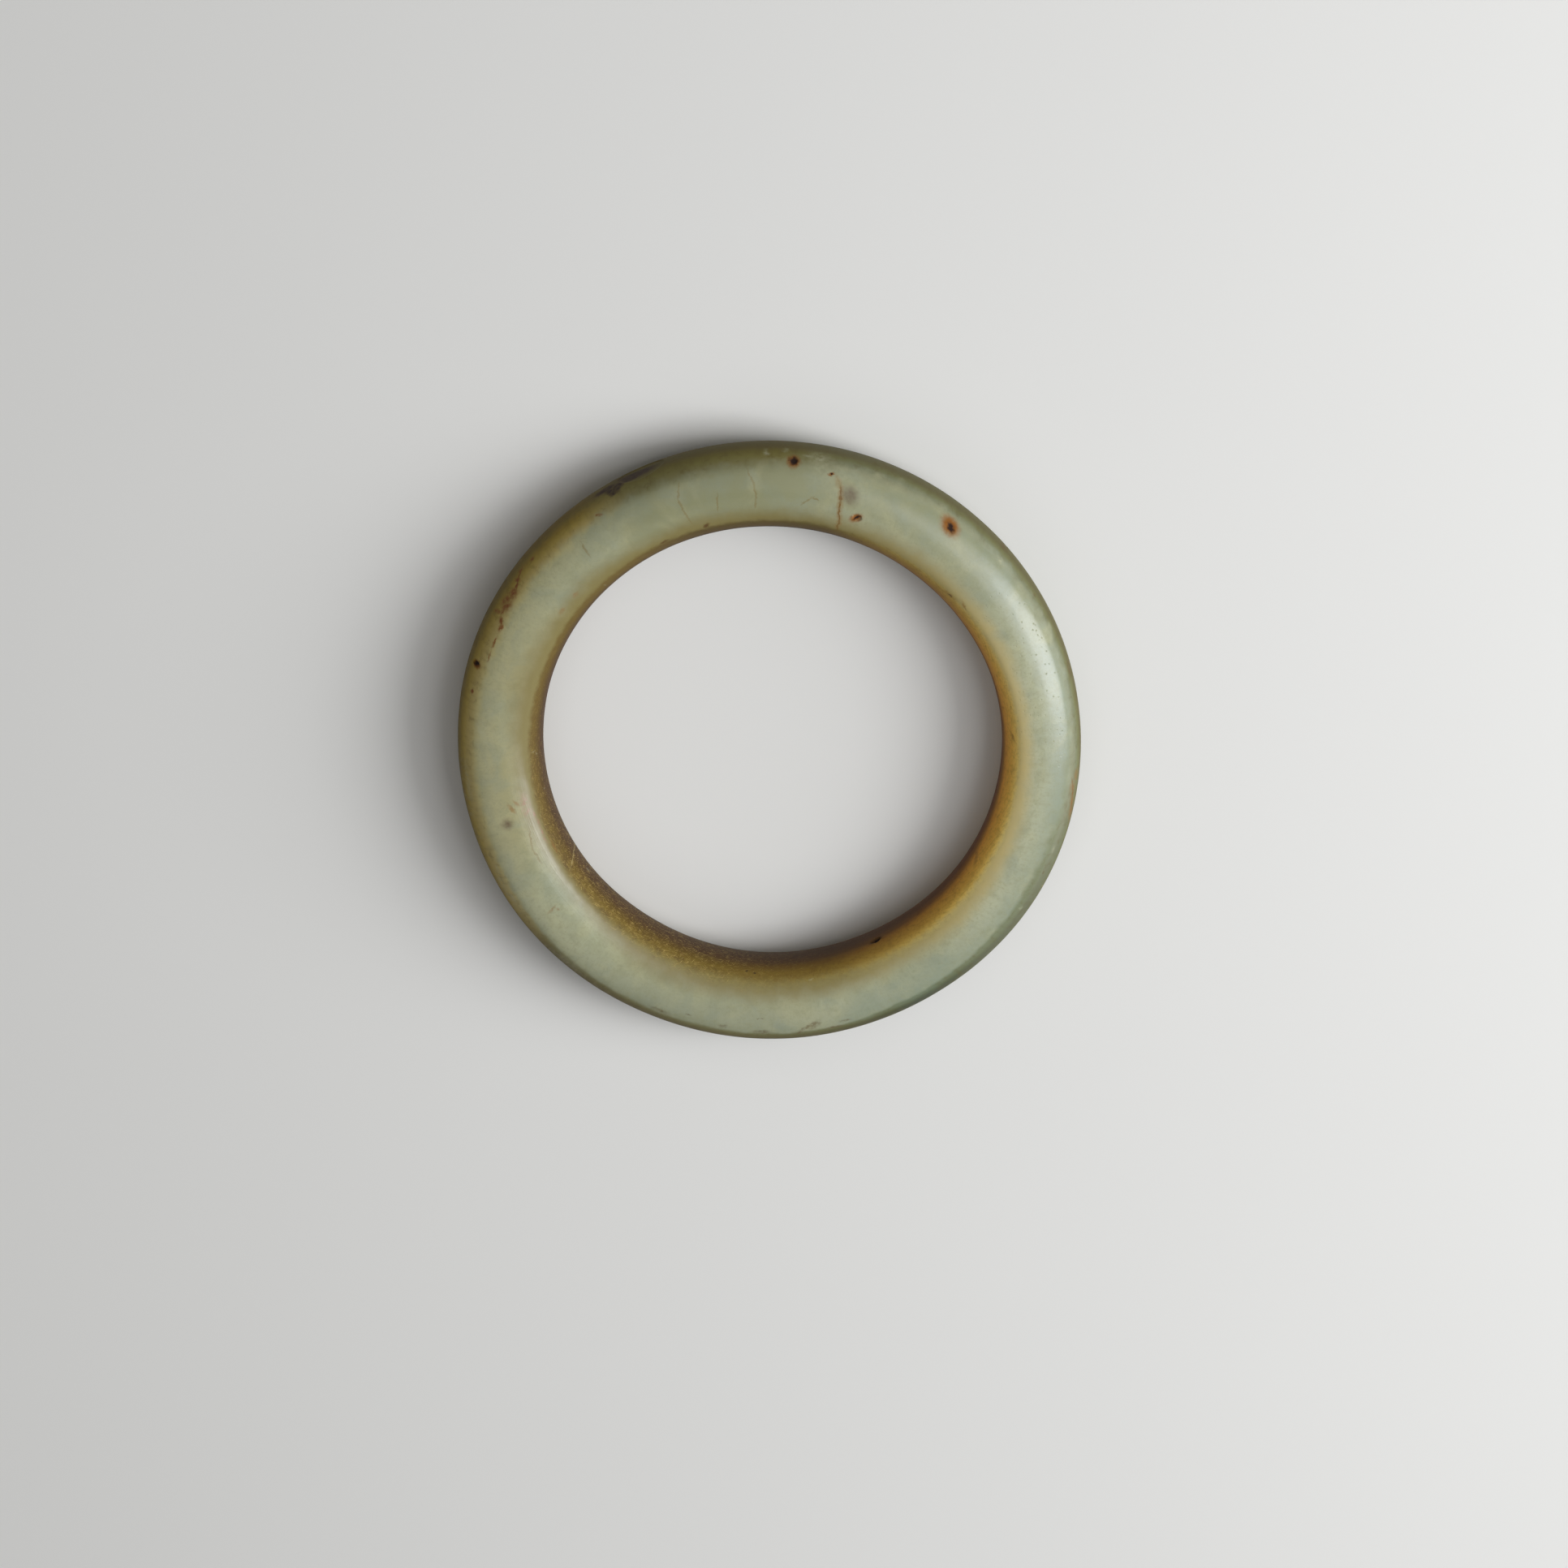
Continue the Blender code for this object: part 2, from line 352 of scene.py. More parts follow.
# The stain that soaked into the hole's wall, by section angle. Painted shade darkens both towards
# the wall's middle, and the amber one also holds a painted glow, as if light came through the edge
BROWN_STAIN_AND_SHADE = (
    (118, "#807644"), (126, "#7A6C34"), (132, "#705E24"), (140, "#6B5614"), (150, "#564000"),
    (160, "#442C08"), (170, "#40280A"), (180, "#40280A"),
)
AMBER_STAIN_GLOW_AND_SHADE = (
    (116, "#BCAF74"), (122, "#E0C87A"), (128, "#F2CA64"), (136, "#F0BA4C"), (144, "#EAAE40"),
    (151, "#E09C2E"), (160, "#94600A"), (170, "#70400A"), (180, "#6A3C0A"),
)

# Clouds in the solid: how far apart they lie, the noise where they begin and are full, and strength
CLOUDS = {
    "cream": (5.0, 0.42, 0.72, 0.38),
    "cool": (4.0, 0.42, 0.70, 0.42),
    "deep": (1.6, 0.44, 0.74, 0.3),
    "body grain": (0.35, 0.46, 0.72, 0.35),
    "skin grain": (0.9, 0.50, 0.72, 0.3),
    "coarse stain grain": (0.9, 0.46, 0.74, 0.18),
    "fine stain grain": (0.35, 0.48, 0.72, 0.22),
    "dark ground": (1.6, 0.46, 0.72, 0.4),
}
# Streaks: length, width, tilt in degrees from the ring's direction, then the same three as clouds
STREAKS = {
    "fibres": (0.35, 2.4, 8, 0.50, 0.75, 0.18),
    "skin run": (0.9, 5.0, 0, 0.45, 0.75, 0.2),
    "paler run": (0.7, 3.2, 6, 0.46, 0.70, 0.24),
    "stain run": (2.4, 0.3, -16, 0.46, 0.76, 0.2),
    "level scratches": (1.2, 0.10, 12, 0.57, 0.70, 0.55),
    "falling scratches": (1.0, 0.09, -30, 0.59, 0.71, 0.55),
    "steep scratches": (0.8, 0.09, 60, 0.60, 0.71, 0.55),
    "grinding lines": (9.0, 0.18, 2, 0.4, 0.7, 0.07),
}
PATCH_SIZE = 0.6  # how far apart the breaks in a patchy mark lie
PATCH_NOISE = (0.4, 0.58)  # the noise where a patchy mark thins out and where it is whole
PORE_SPACING = 0.7
PORE_RIM = (0.2, 0.06)  # how far from its middle a pore begins and is full, for a spacing of 1
PORE_SHADE = 0.25  # how much darker a pore is
PORE_DEPTH = 0.5
FACE_DIPS = 3.0  # how far apart the broad dips of the hand's polish lie
FACE_GRAIN = 0.55  # how far apart the fine ones lie
FACE_GRAIN_DEPTH = 0.14  # how deep the fine ones are, for broad ones of 1
PIT_ROUGHNESS = 0.95

# Small stains and flecks: colour, strength, softness of the edge, patchiness, then each one's ring
# angle, section angle, length, width and tilt in degrees from the ring's own direction
SPOTS = {
    "whitened patch": (
        "#A2A182", 0.36, 1.0, 0.6,
        (
            (77.0, 52, 5.6, 2.4, 20), (72.4, 66, 3.0, 2.2, 0), (80.3, 42, 2.4, 1.8, 60),
            (80.5, 33, 2.2, 2.6, 60), (72.0, 56, 1.6, 0.8, 0),
            (90.6, 27, 0.5, 1.2, 0), (87.0, 22, 0.5, 0.8, 0),
            (286.5, 92, 4.4, 2.6, 0), (284.5, 78, 1.6, 1.0, 0), (281.4, 94, 0.9, 1.6, 0),
            (175.0, 68, 4.0, 0.9, 12), (168.1, 65, 1.2, 0.6, 10), (127.0, 92, 3.6, 2.8, 0),
            (41.5, 40, 1.3, 0.9, 0), (209.0, 46, 5.0, 1.6, 0), (228.0, 48, 4.0, 1.4, 0),
            (186.0, 44, 4.0, 1.2, 0), (353.0, 103, 2.4, 1.4, 0),
        ),
    ),
    "pale fleck": (
        "#A9A88A", 0.34, 1.0, 0.4,
        (
            (75.7, 56, 0.8, 0.5, 30), (79.0, 48, 1.0, 0.5, -20), (80.4, 35, 0.9, 0.6, 10),
            (80.8, 50, 0.4, 0.7, 40), (83.0, 30, 0.8, 0.4, 0), (90.3, 30, 0.5, 0.4, 0),
            (175.0, 67, 0.7, 0.3, 20), (281.5, 93, 0.5, 0.8, 0), (285.6, 90, 0.5, 0.9, 0),
            (327.7, 51, 0.5, 0.5, 0), (341.0, 47, 0.7, 0.5, 0), (356.7, 101, 0.5, 0.4, 0),
            (41.5, 40, 0.5, 0.4, 0), (204.5, 52, 1.2, 0.4, 0), (211.0, 52, 1.0, 0.4, 0),
            (191.2, 155, 0.2, 0.5, 0), (180.6, 139, 0.2, 0.6, 10), (181.5, 146, 0.3, 0.4, 0),
            (216.0, 168, 0.7, 0.2, 20), (133.6, 138, 0.2, 0.5, 0), (279.4, 127, 0.5, 0.2, 0),
        ),
    ),
    "cool patch": (
        "#75806E", 0.42, 1.0, 0.3,
        (
            (289.6, 76, 3.8, 3.4, 0), (301.5, 74, 6.4, 4.6, 10), (308.5, 82, 4.4, 3.0, 0),
            (297.5, 86, 2.4, 1.6, 0),
        ),
    ),
    "netted blotch": (
        "#553E2C", 0.8, 1.0, 0.2,
        ((73.7, 74, 1.6, 1.9, 30), (195.6, 88, 1.1, 1.2, 0)),
    ),
    "pink flush": (
        "#96604E", 0.5, 1.0, 0.8,
        (
            (193.0, 116, 2.8, 0.9, 0), (196.0, 124, 2.6, 0.35, 10), (201.0, 126, 2.2, 0.3, 0),
        ),
    ),
    "crust": (
        "#2A0600", 0.92, 0.6, 0.25,
        (
            (115.0, 3, 4.6, 2.2, 0), (118.8, 22, 1.3, 2.1, -30), (119.9, 30, 1.0, 1.0, 0),
            (121.3, 12, 2.6, 1.3, 0), (116.0, 12, 2.4, 1.2, 10), (120.6, 22, 0.9, 1.0, 0),
        ),
    ),
    "russet": (
        "#7C3C04", 0.9, 0.8, 0.5,
        (
            (142.8, 29, 0.5, 0.6, 60), (144.3, 37, 0.5, 1.1, 30), (145.2, 42, 0.7, 0.5, 0),
            (146.8, 45, 1.5, 1.3, 0), (149.0, 44, 1.8, 1.8, 20), (150.6, 46, 1.0, 0.6, 0),
            (151.5, 37, 0.5, 1.5, 20), (152.4, 52, 1.1, 0.6, 50), (153.6, 56, 1.1, 0.6, 0),
            (156.6, 57, 1.3, 0.3, 0), (159.5, 58, 1.2, 0.25, 0), (139.6, 32, 0.6, 0.5, 20),
            (167.8, 47, 0.4, 0.6, 0), (123.9, 50, 0.4, 0.8, 60),
        ),
    ),
    "brown smudge": (
        "#58431F", 0.62, 0.8, 0.6,
        (
            (268.3, 80, 0.7, 0.18, 0), (248.2, 61, 2.2, 0.5, 0), (253.6, 69, 0.6, 0.22, 0),
            (261.0, 64, 0.9, 0.45, 10), (268.6, 60, 1.9, 0.6, 0),
            (276.0, 57, 0.8, 0.6, 0), (277.4, 64, 1.6, 0.4, 20), (279.2, 67, 1.5, 0.9, 30),
            (283.0, 57, 1.8, 0.4, 0), (285.5, 64, 1.2, 0.3, 0), (336.0, 47, 0.4, 0.4, 0),
            (16.2, 17, 1.6, 1.5, 0), (42.3, 8, 1.2, 1.4, 0), (32.0, 24, 0.5, 0.5, 0),
        ),
    ),
    "rust": (
        "#80561E", 0.55, 0.9, 0.4,
        (
            (139.2, 112, 0.8, 0.6, 0), (144.0, 112, 1.0, 0.5, 0), (192.6, 98, 1.3, 0.4, 25),
            (191.6, 105, 1.0, 0.4, 30), (43.8, 126, 2.0, 0.6, 10), (39.6, 120, 1.6, 0.3, -20),
            (216.9, 87, 0.25, 1.2, 10), (217.6, 93, 0.5, 0.25, 30), (205.0, 133, 2.0, 0.3, 0),
            (348.4, 27, 1.9, 1.2, 25), (351.0, 31, 1.9, 1.1, 20), (353.6, 35, 1.5, 1.2, 35),
            (355.8, 28, 1.2, 1.3, -20), (331.0, 147, 2.2, 0.6, 30), (4.5, 134, 1.6, 0.5, 30),
        ),
    ),
    "deep rust": (
        "#4C2E06", 0.8, 0.7, 0.2,
        ((104.9, 122, 1.0, 0.5, 25), (115.5, 126, 1.3, 0.45, 5), (43.6, 126, 0.9, 0.22, 10)),
    ),
    "rust round a pit": (
        "#7C4804", 0.95, 0.7, 0.0,
        (
            (53.4, 51.5, 2.6, 2.1, -35), (85.4, 42, 1.35, 1.9, 0), (162.5, 41, 0.9, 1.7, 0),
            (71.3, 100, 1.7, 1.0, 35), (78.1, 53, 0.7, 0.4, 20),
        ),
    ),
    "bottom of a pit": (
        "#1A0801", 0.97, 0.7, 0.0,
        (
            (53.1, 53.5, 1.25, 0.75, -43), (85.4, 41, 0.9, 1.3, 0), (162.4, 40, 0.5, 1.3, 10),
            (71.2, 100, 0.9, 0.4, 40), (297.1, 157, 1.8, 0.62, 8),
            (78.1, 53, 0.3, 0.25, 0), (266.0, 139, 0.3, 0.22, 0), (264.0, 142, 0.3, 0.2, 0),
        ),
    ),
}

# Cracks and veins: colour, strength, width, then the points that each passes through
VEINS = {
    "crack's halo": (
        "#866838", 0.5, 0.8,
        (((76.8, 57), (75.7, 70), (75.3, 85), (75.1, 100), (74.6, 110), (74.6, 122)),),
    ),
    "rusty crack": (
        "#6A4810", 0.85, 0.26,
        (((75.8, 68), (75.3, 85), (75.1, 100), (74.6, 110), (74.6, 122)),),
    ),
    "russet vein": (
        "#7A4406", 0.7, 0.32,
        (
            ((142.5, 28), (144.0, 36), (145.2, 43)),
        ),
    ),
    "brown vein": (
        "#64440E", 0.85, 0.36,
        (((347.5, 24), (351.0, 31), (353.0, 33), (355.0, 39)),),
    ),
    "hairline": (
        "#76602E", 0.5, 0.26,
        (
            ((76.8, 57), (76.2, 63), (75.7, 70)),
            ((80.0, 89), (81.2, 87), (82.4, 93), (83.2, 97)),
            ((93.7, 60), (92.9, 75), (92.7, 88), (93.2, 102)),
            ((100.7, 85), (101.3, 100)),
            ((107.5, 60), (108.3, 75), (108.4, 92), (107.9, 108)),
            ((129.8, 70), (130.3, 85)),
            ((199.5, 110), (203.0, 106.5), (206.0, 107)),
        ),
    ),
    "white scratch": (
        "#A08E5C", 0.6, 0.2,
        (((209.5, 184), (209.8, 165), (211.5, 143)), ((332.4, 20), (332.7, 27))),
    ),
}


def linear(hex_colour):
    """An sRGB hex colour as the linear red, green, blue and alpha that the shaders use."""
    channels = (int(hex_colour[place : place + 2], 16) / 255 for place in (1, 3, 5))
    return (*(c / 12.92 if c <= 0.04045 else ((c + 0.055) / 1.055) ** 2.4 for c in channels), 1.0)


def add(tree, kind, inputs=(), output=0, stops=(), **settings):
    """Adds a node, sets its properties, fills or links its inputs, and returns one output.

    The stops are a colour ramp's, each a place from 0 to 1 and its colour.
    """
    node = tree.nodes.new("ShaderNode" + kind)
    for name, value in settings.items():
        setattr(node, name, value)
    for number, (place, colour) in enumerate(stops):
        ramp = node.color_ramp.elements
        stop = ramp[number] if number < len(ramp) else ramp.new(place)
        stop.position = place
        stop.color = colour
    for name, value in dict(inputs).items():
        if isinstance(value, bpy.types.NodeSocket):
            tree.links.new(value, node.inputs[name])
        else:
            node.inputs[name].default_value = value
    return node.outputs[output]


def find_place(tree):
    """The sockets that say where a point of the stone lies."""
    metres = add(tree, "TexCoord", output="Object")
    solid = add(tree, "VectorMath", {0: metres, "Scale": 1 / MM}, operation="SCALE")
    unrolled = add(tree, "UVMap", uv_map=UNROLLED)
    fray = add(tree, "TexNoise", {"Vector": solid, "Scale": 1 / FRAY_SIZE, "Detail": 3}, output="Color")
    middled = add(tree, "VectorMath", {0: fray, 1: (0.5, 0.5, 0.5)}, operation="SUBTRACT")
    frayed = {0: middled, 1: (FRAY_REACH, FRAY_REACH, 0), 2: unrolled}
    ragged = add(tree, "VectorMath", frayed, operation="MULTIPLY_ADD")
    round_the_ring = add(tree, "SeparateXYZ", {0: unrolled}, output="X")
    round_the_section = round_the_ring.node.outputs["Y"]
    degrees = {0: round_the_ring, 1: math.degrees(1 / MAP_RING_RADIUS)}
    past_seam = add(tree, "Math", degrees, operation="MULTIPLY")
    turn = add(tree, "Math", {0: past_seam, 1: 360}, operation="MODULO")
    degrees = {0: round_the_section, 1: math.degrees(1 / MAP_SECTION_RADIUS)}
    past_outer_wall = add(tree, "Math", degrees, operation="MULTIPLY")
    lean = add(tree, "Math", {0: past_outer_wall, 1: 180}, operation="PINGPONG")
    return Where(solid, unrolled, ragged, turn, lean)


def lay(tree, colour, layers):
    """Lays colours over a colour, each by its own share."""
    for share, over in layers:
        colour = add(tree, "Mix", {0: share, 6: colour, 7: over}, output=2, data_type="RGBA")
    return colour


def combine(tree, how, shares):
    """Several shares as one, such as by MULTIPLY or MAXIMUM."""
    result, *others = shares
    for other in others:
        result = add(tree, "Math", {0: result, 1: other}, operation=how)
    return result


def both(tree, *shares):
    """Where all of the shares are."""
    return combine(tree, "MULTIPLY", shares)


def rise(tree, value, low, high, top=1.0, bottom=0.0):
    """A share that goes softly from bottom to top as a value goes from low to high."""
    ends = {"Value": value, "From Min": low, "From Max": high, "To Min": bottom, "To Max": top}
    return add(tree, "MapRange", ends, interpolation_type="SMOOTHSTEP")


def tint(value):
    """What a ramp shows for a hex colour, for one of the panel's colours or for a share."""
    if isinstance(value, str):
        return linear(value)
    if isinstance(value, (int, float)):
        return value, value, value, 1.0
    return value


def along(tree, place, whole, stops):
    """What the stops give along a place that goes from 0 to a whole: a colour, or a share."""
    tints = [(at / whole, tint(value)) for at, value in stops]
    portion = add(tree, "Math", {0: place, 1: 1 / whole}, operation="MULTIPLY")
    return add(tree, "ValToRGB", {0: portion}, stops=tints)


def round_ring(tree, where, stops):
    """A colour or share that changes round the ring."""
    return along(tree, where.turn, 360, stops)


def round_section(tree, where, stops):
    """A colour or share that changes round the section."""
    return along(tree, where.lean, 180, stops)


def past_edge(tree, where, edges, ragged=1.4, size=2.0):
    """0 on the outer side of an edge and 1 on the hole's side.

    The edge strays either way by up to its fade times ragged, in bays that lie one size apart.
    """
    lies = round_ring(tree, where, [(turn, at / 180) for turn, at, _ in edges])
    fade = round_ring(tree, where, [(turn, reach / 180) for turn, _, reach in edges])
    portion = add(tree, "Math", {0: where.lean, 1: 1 / 180}, operation="MULTIPLY")
    past = add(tree, "Math", {0: portion, 1: lies}, operation="SUBTRACT")
    fades = add(tree, "Math", {0: past, 1: fade}, operation="DIVIDE")
    unevenness = add(tree, "TexNoise", {"Vector": where.solid, "Scale": 1 / size, "Detail": 4})
    shift = add(tree, "Math", {0: unevenness, 1: 2 * ragged, 2: -ragged}, operation="MULTIPLY_ADD")
    return rise(tree, add(tree, "Math", {0: fades, 1: shift}), -1, 1)


def clouds(tree, where, name):
    """Soft clouds in the solid, as the table of clouds gives them."""
    size, begin, full, strength = CLOUDS[name]
    cloud = {"Vector": where.solid, "Scale": 1 / size, "Detail": 4, "Roughness": 0.55, "Distortion": 0.6}
    return rise(tree, add(tree, "TexNoise", cloud), begin, full, strength)


def streaks(tree, where, name):
    """Fine streaks, as the table of streaks gives them."""
    length, width, tilt, begin, full, strength = STREAKS[name]
    placing = {"Vector": where.map, "Rotation": (0, 0, math.radians(tilt)), "Scale": (length, width, 1)}
    drawn_out = add(tree, "Mapping", placing, vector_type="TEXTURE")
    grain = add(tree, "TexNoise", {"Vector": drawn_out, "Scale": 1.0, "Detail": 2})
    return rise(tree, grain, begin, full, strength)


def spot_share(tree, where, softness, spot):
    """One ragged spot on the unrolled map, whose length and width end halfway down its faded edge."""
    ring_angle, section_angle, length, width, tilt = spot
    placing = {
        "Vector": where.ragged,
        "Location": (*on_map(ring_angle, section_angle), 0),
        "Rotation": (0, 0, math.radians(tilt)),
        "Scale": (length / (2 - softness), width / (2 - softness), 1),
    }
    centred = add(tree, "Mapping", placing, vector_type="TEXTURE")
    nearness = add(tree, "TexGradient", {0: centred}, output="Fac", gradient_type="SPHERICAL")
    return rise(tree, nearness, 0.0, softness)


def vein_spots(points, width):
    """A crooked line through the points, as long thin spots that overlap at their ends."""
    for start, end in zip(points, points[1:]):
        (x0, y0), (x1, y1) = on_map(*start), on_map(*end)
        middle = (start[0] + end[0]) / 2, (start[1] + end[1]) / 2
        length = math.hypot(x1 - x0, y1 - y0) * VEIN_OVERLAP
        tilt = math.degrees(math.atan2(y1 - y0, x1 - x0))
        yield (*middle, length, width, tilt)


def marks(tree, where, colour):
    """The stone's own small stains, flecks, pits, cracks and veins."""
    layers = []
    for hue, strength, width, lines in VEINS.values():
        spots = [spot for points in lines for spot in vein_spots(points, width)]
        layers.append((hue, strength, VEIN_SOFTNESS, VEIN_PATCHINESS, spots))
    patches = add(tree, "TexNoise", {"Vector": where.solid, "Scale": 1 / PATCH_SIZE, "Detail": 3})
    for hue, strength, softness, patchiness, spots in (*layers, *SPOTS.values()):
        share = combine(tree, "MAXIMUM", [spot_share(tree, where, softness, spot) for spot in spots])
        patchy = rise(tree, patches, *PATCH_NOISE, strength, strength * (1 - patchiness))
        colour = lay(tree, colour, ((both(tree, share, patchy), linear(hue)),))
    return colour


def body(tree, where, colours):
    """Nephrite's felted fibres: pale grey-green with clouds, cooler or warmer by turns."""
    base = round_ring(tree, where, [(turn, getattr(colours, name)) for turn, name in BODY_ROUND])
    outward = rise(tree, where.lean, *TINTED_FACE)
    layers = (
        (both(tree, round_ring(tree, where, COOLED_SHARE), outward), colours.cool),
        (both(tree, round_ring(tree, where, DEEPENED_SHARE), outward), colours.deep),
        (both(tree, round_ring(tree, where, CREAMED_SHARE), outward), colours.cream),
        (clouds(tree, where, "cream"), colours.cream),
        (clouds(tree, where, "cool"), colours.cool),
        (clouds(tree, where, "deep"), colours.deep),
        (streaks(tree, where, "fibres"), colours.deep),
        (clouds(tree, where, "body grain"), colours.deep),
    )
    return lay(tree, base, layers)


def skin(tree, where, colour):
    """Weathered skin and painted shade on the outer wall, streaked from top to bottom."""
    stretches = ((OLIVE_SHARE, OLIVE_SKIN_AND_SHADE), (SHADED_GREY_SHARE, GREY_SKIN_AND_SHADE), (YELLOW_SHARE, YELLOW_SKIN_AND_SHADE))
    layers = [(round_ring(tree, where, s), round_section(tree, where, hues)) for s, hues in stretches]
    # Every skin darkens towards the wall's middle as painted shade, and the grey one most
    hue = lay(tree, round_section(tree, where, PALE_SKIN_AND_SHADE), layers)
    paler = both(tree, round_ring(tree, where, PALED_SHARE), streaks(tree, where, "paler run"))
    streaked = (
        (streaks(tree, where, "skin run"), linear("#4C3E08")),
        (paler, linear("#9A9062")),
        (clouds(tree, where, "skin grain"), linear("#544408")),
    )
    left = past_edge(tree, where, SKIN_EDGE)
    return lay(tree, lay(tree, hue, streaked), ((left, colour),))


def stain(tree, where, colour):
    """Stain and painted shade on the hole's wall: brown, or amber with a painted glow where light comes
    through.
    """
    # Where the amber lies, part stain and part a painted glow of light through the thin edge
    amber = round_ring(tree, where, AMBER_AND_GLOW_SHARE)
    haze = lay(tree, linear("#776C3E"), ((amber, linear("#C8B57A")),))
    # The brown and the amber hues darken towards the wall's middle: painted shade
    brown_hue = round_section(tree, where, BROWN_STAIN_AND_SHADE)
    hue = lay(tree, brown_hue, ((amber, round_section(tree, where, AMBER_STAIN_GLOW_AND_SHADE)),))
    ground = round_ring(tree, where, GROUND_SHARE)
    grained = (
        (round_ring(tree, where, SHADE_SHARE), linear("#1E0A00")),
        (streaks(tree, where, "stain run"), linear("#5A3400")),
        (clouds(tree, where, "coarse stain grain"), linear("#4A2800")),
        (clouds(tree, where, "fine stain grain"), linear("#4A2800")),
        (both(tree, ground, clouds(tree, where, "dark ground")), linear("#341A00")),
        (both(tree, ground, streaks(tree, where, "level scratches")), linear("#AC9350")),
        (both(tree, ground, streaks(tree, where, "falling scratches")), linear("#AC9350")),
        (both(tree, ground, streaks(tree, where, "steep scratches")), linear("#BCA25C")),
    )
    layers = (
        (past_edge(tree, where, HAZE_EDGE, ragged=0.5), haze),
        (past_edge(tree, where, STAIN_EDGE, ragged=1.1, size=1.0), lay(tree, hue, grained)),
    )
    return lay(tree, colour, layers)


def relief(tree, where, pinholes):
    """How the surface rises and falls: uneven hand polish, fine grain, grinding lines and pinholes."""
    broad = add(tree, "TexNoise", {"Vector": where.solid, "Scale": 1 / FACE_DIPS, "Detail": 5})
    fine = add(tree, "TexNoise", {"Vector": where.solid, "Scale": 1 / FACE_GRAIN, "Detail": 3})
    uneven = add(tree, "Math", {0: broad, 1: both(tree, fine, FACE_GRAIN_DEPTH)})
    lined = both(tree, round_ring(tree, where, LINED_SHARE), round_section(tree, where, LINED_SECTION))
    lines = both(tree, lined, streaks(tree, where, "grinding lines"))
    raised = combine(tree, "ADD", (uneven, lines))
    return combine(tree, "SUBTRACT", (raised, both(tree, pinholes, PORE_DEPTH)))


def pores(tree, where):
    """Pinholes in the stone, most of them on the side where the face is open-grained."""
    cells = add(tree, "TexVoronoi", {"Vector": where.solid, "Scale": 1 / PORE_SPACING, "Randomness": 1.0})
    return both(tree, round_ring(tree, where, PORE_SHARE), rise(tree, cells, *PORE_RIM))


def nephrite(colours):
    """Nephrite jade, ground and hand-polished.

    Its felted fibres let light a little way in, so its edges look soft. The faces were polished and
    give a broad, waxy highlight. The walls stayed duller, and weathering stained them brown; their
    colours also carry painted shade, and the hole's wall an amber painted glow.
    """
    material = bpy.data.materials.new("nephrite jade, ground and hand-polished")
    material.use_nodes = True
    tree = material.node_tree
    tree.nodes.clear()
    where = find_place(tree)
    colour = stain(tree, where, skin(tree, where, body(tree, where, colours)))
    pinholes = pores(tree, where)
    pored = lay(tree, colour, ((both(tree, pinholes, PORE_SHADE), colours.deep),))
    colour = marks(tree, where, pored)
    _, _, softness, _, pits = SPOTS["rust round a pit"]
    pitted = [spot_share(tree, where, softness, pit) for pit in pits]
    hollowed = combine(tree, "MAXIMUM", (pinholes, *pitted))

    edges = (OUTER_POLISH_EDGE, HOLE_POLISH_EDGE)
    polished = combine(tree, "SUBTRACT", [past_edge(tree, where, edge, ragged=0.3) for edge in edges])
    worn = rise(tree, polished, 0.0, 1.0, colours.face_roughness, colours.wall_roughness)
    roughness = rise(tree, hollowed, 0.0, 1.0, PIT_ROUGHNESS, worn)
    height = {"Height": relief(tree, where, pinholes), "Strength": 0.35, "Distance": 0.15 * MM}

    shader = {
        "Base Color": colour,
        "Roughness": roughness,
        "IOR": 1.62,
        "Specular IOR Level": 0.3,
        "Subsurface Weight": 0.15,
        "Subsurface Radius": (1.0, 1.0, 0.6),
        "Subsurface Scale": 0.8 * MM,
        "Normal": add(tree, "Bump", height),
    }
    surface = add(tree, "BsdfPrincipled", shader)
    tree.links.new(surface, tree.nodes.new("ShaderNodeOutputMaterial").inputs["Surface"])
    return material


# --- What the panel shows --------------------------------------------------------------------


def length_prop(name, description, default):
    return FloatProperty(name=name, description=description, default=default, min=0, unit="LENGTH")


def share_prop(name, description, default):
    settings = {"default": default, "min": 0, "max": 1, "subtype": "FACTOR"}
    return FloatProperty(name=name, description=description, **settings)


def colour_prop(name, description, hex_colour):
    settings = {"default": linear(hex_colour), "size": 4, "min": 0, "max": 1, "subtype": "COLOR"}
    return FloatVectorProperty(name=name, description=description, **settings)


class BangleShape(bpy.types.PropertyGroup):
    """Sizes of the ring"""

    outside_diameter: length_prop("Outside", "Across the ring, outer wall to outer wall", OUTSIDE_DIAMETER)
    hole_diameter: length_prop("Hole", "Across the hole for the wrist", 58.6 * MM)
    full_height: length_prop("Height", "Height of the band before its underside is ground flat", 11.4 * MM)
    face_bow_radius: length_prop("Face bow", "Radius of the bowed upper and lower faces", 7.0 * MM)
    wall_bow_radius: length_prop("Wall bow", "Radius of the bowed outer and hole walls", 6.9 * MM)
    rest_band_width: length_prop("Rest band", "Width of the flat on the underside", 3.6 * MM)
    arris_sharpness: FloatProperty(
        name="Arris", description="How crisply the faces meet the walls", default=120, min=2
    )
    hole_off_centre: FloatVectorProperty(
        name="Hole shift",
        description="How far the hole sits from the ring's middle",
        default=(0.35 * MM, 0.27 * MM),
        size=2,
        unit="LENGTH",
    )
    turns: IntProperty(name="Turns", description="Quads round the ring", default=720, min=12)
    leans: IntProperty(name="Leans", description="Quads round the section", default=100, min=8)


